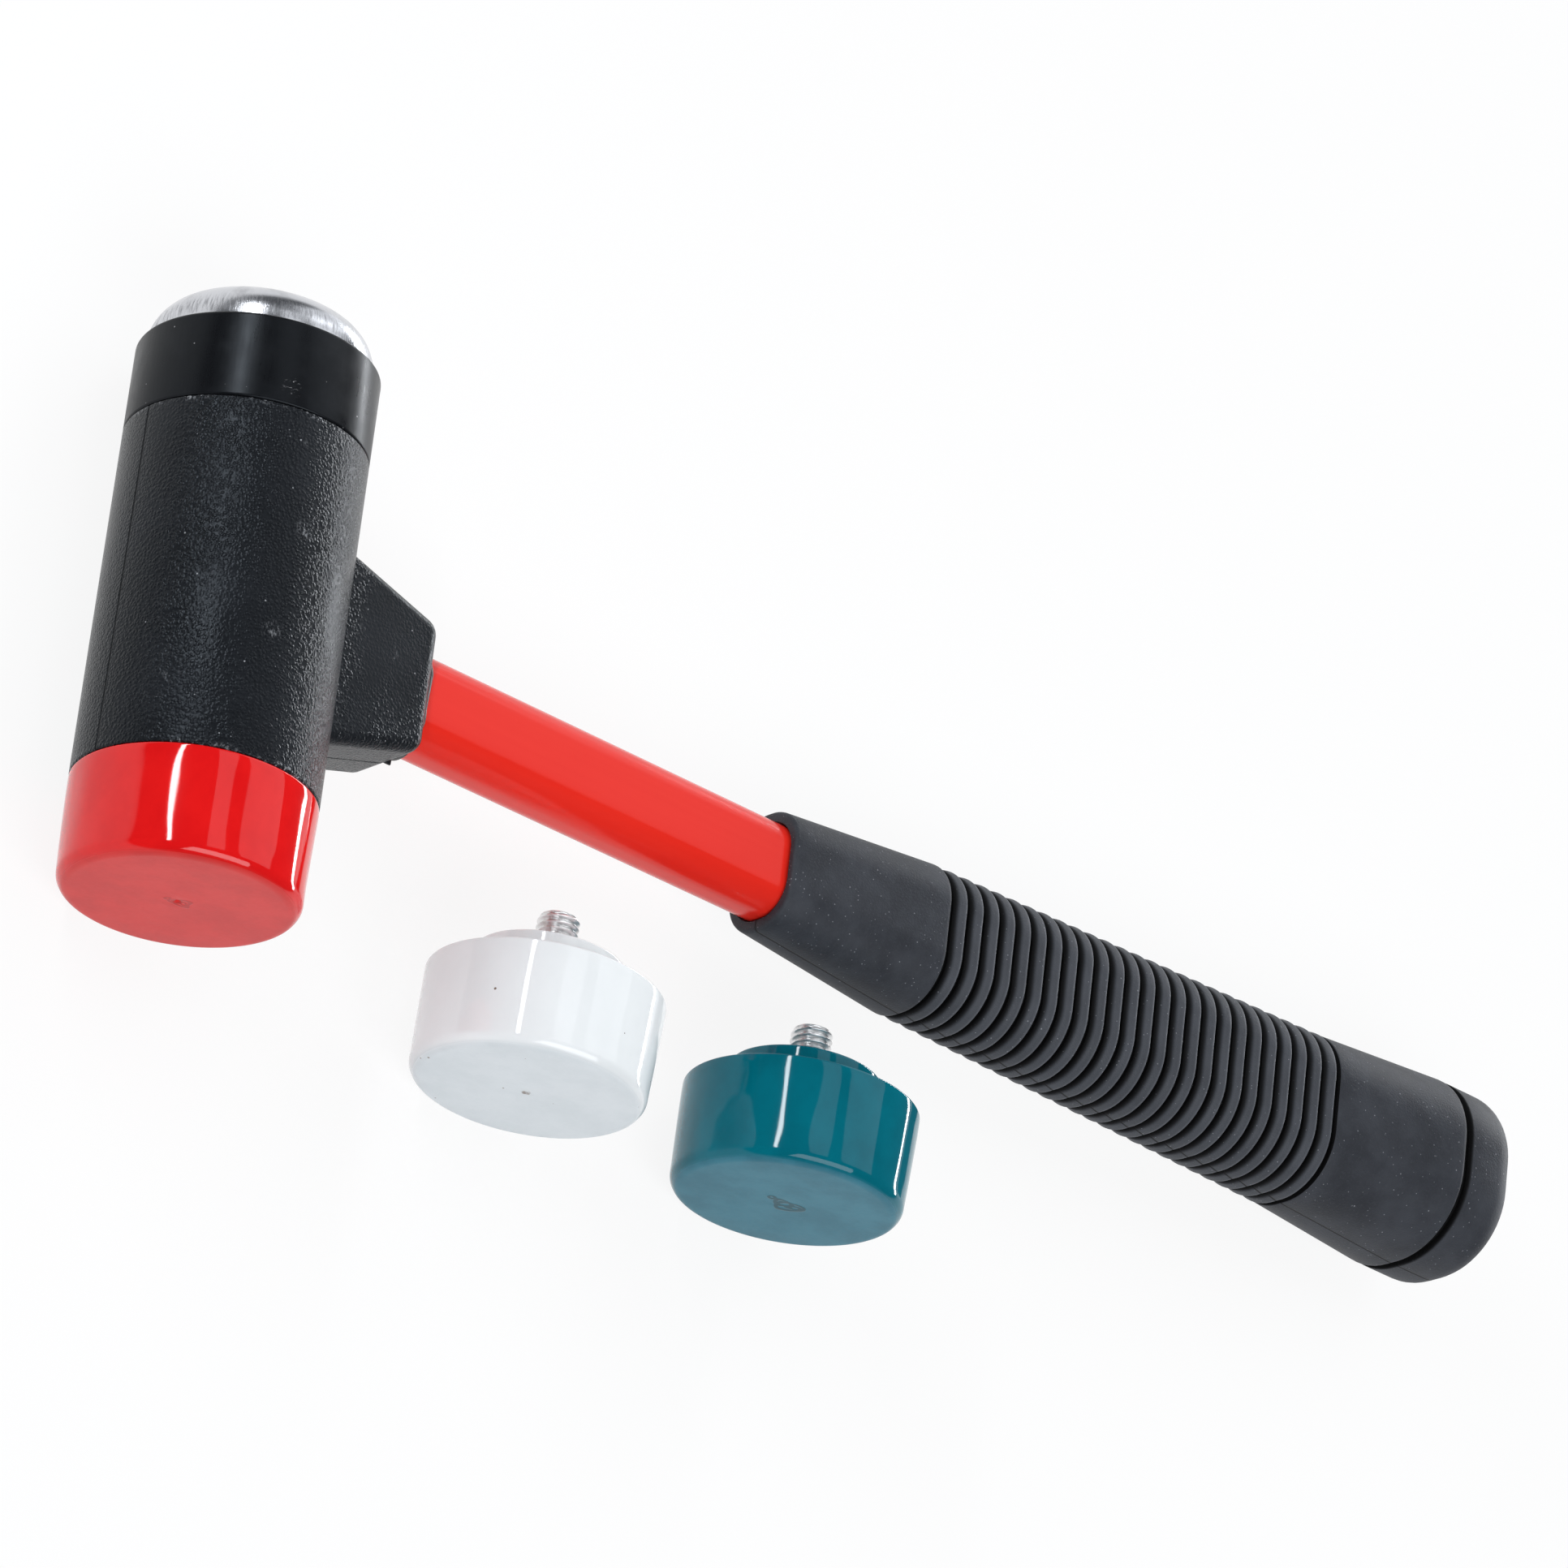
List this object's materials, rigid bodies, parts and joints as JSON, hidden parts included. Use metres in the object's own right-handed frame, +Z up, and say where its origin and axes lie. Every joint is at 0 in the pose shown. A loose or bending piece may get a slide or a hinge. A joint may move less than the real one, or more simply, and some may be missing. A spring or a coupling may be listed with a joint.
{
  "type": "soft face hammer",
  "caption": "Soft face hammer with a domed steel face, a screw-in plastic face, a bar handle with ribbed grip, and spare plastic faces on threaded studs.",
  "frame": {"origin": "middle of the set's footprint on the floor, with the hammer lying on its side and the two spare faces beside it", "axes": "+X along the handle from the head to the butt, +Y along the head's axis towards the steel face, +Z up from the floor"},
  "size_m": [0.3456, 0.126, 0.045],
  "materials": {
    "shell_plastic": "leather-grained black nylon",
    "core_steel": "turned steel",
    "bar_fibre": "glossy red glass fibre",
    "bond": "black adhesive",
    "grip_rubber": "matt black rubber",
    "red_plastic": "glossy red",
    "stud_zinc": "bright zinc plate",
    "face_steel": "polished",
    "collar_plastic": "satin black",
    "white_plastic": "glossy white",
    "teal_plastic": "glossy teal"
  },
  "bodies": {
    "hammer": {"head_shell": "shell_plastic", "head_core": "core_steel", "handle_bar": "bar_fibre", "handle_bond": "bond", "grip": "grip_rubber"},
    "steel_collar": {"steel_face_collar": "collar_plastic"},
    "steel_face": {"steel_face": "face_steel"},
    "red_face": {"red_face": "red_plastic", "red_face_stud": "stud_zinc"},
    "white_face": {"white_face": "white_plastic", "white_face_stud": "stud_zinc"},
    "teal_face": {"teal_face": "teal_plastic", "teal_face_stud": "stud_zinc"}
  },
  "joints": [
    {"name": "steel_collar_slide", "type": "slide", "parent": "hammer", "child": "steel_collar", "axis": [0, 1, 0], "range_m": [0, 0.00875]},
    {"name": "steel_face_turn", "type": "hinge", "parent": "steel_collar", "child": "steel_face", "pos_m": [-0.15027, 0.03437, 0.0225], "axis": [0, 1, 0], "range_deg": [0, 2520]},
    {"name": "red_face_unscrew", "type": "slide", "parent": "hammer", "child": "red_face", "axis": [0, -1, 0], "range_m": [0, 0.0155]},
    {"name": "white_face_lift", "type": "slide", "parent": "hammer", "child": "white_face", "axis": [0, 0, 1], "range_m": [0, 0.08]},
    {"name": "teal_face_lift", "type": "slide", "parent": "hammer", "child": "teal_face", "axis": [0, 0, 1], "range_m": [0, 0.08]}
  ],
  "couplings": [
    {"joint": "steel_face_turn", "follows": "steel_collar_slide", "rad_per_m": 5026.5}
  ]
}
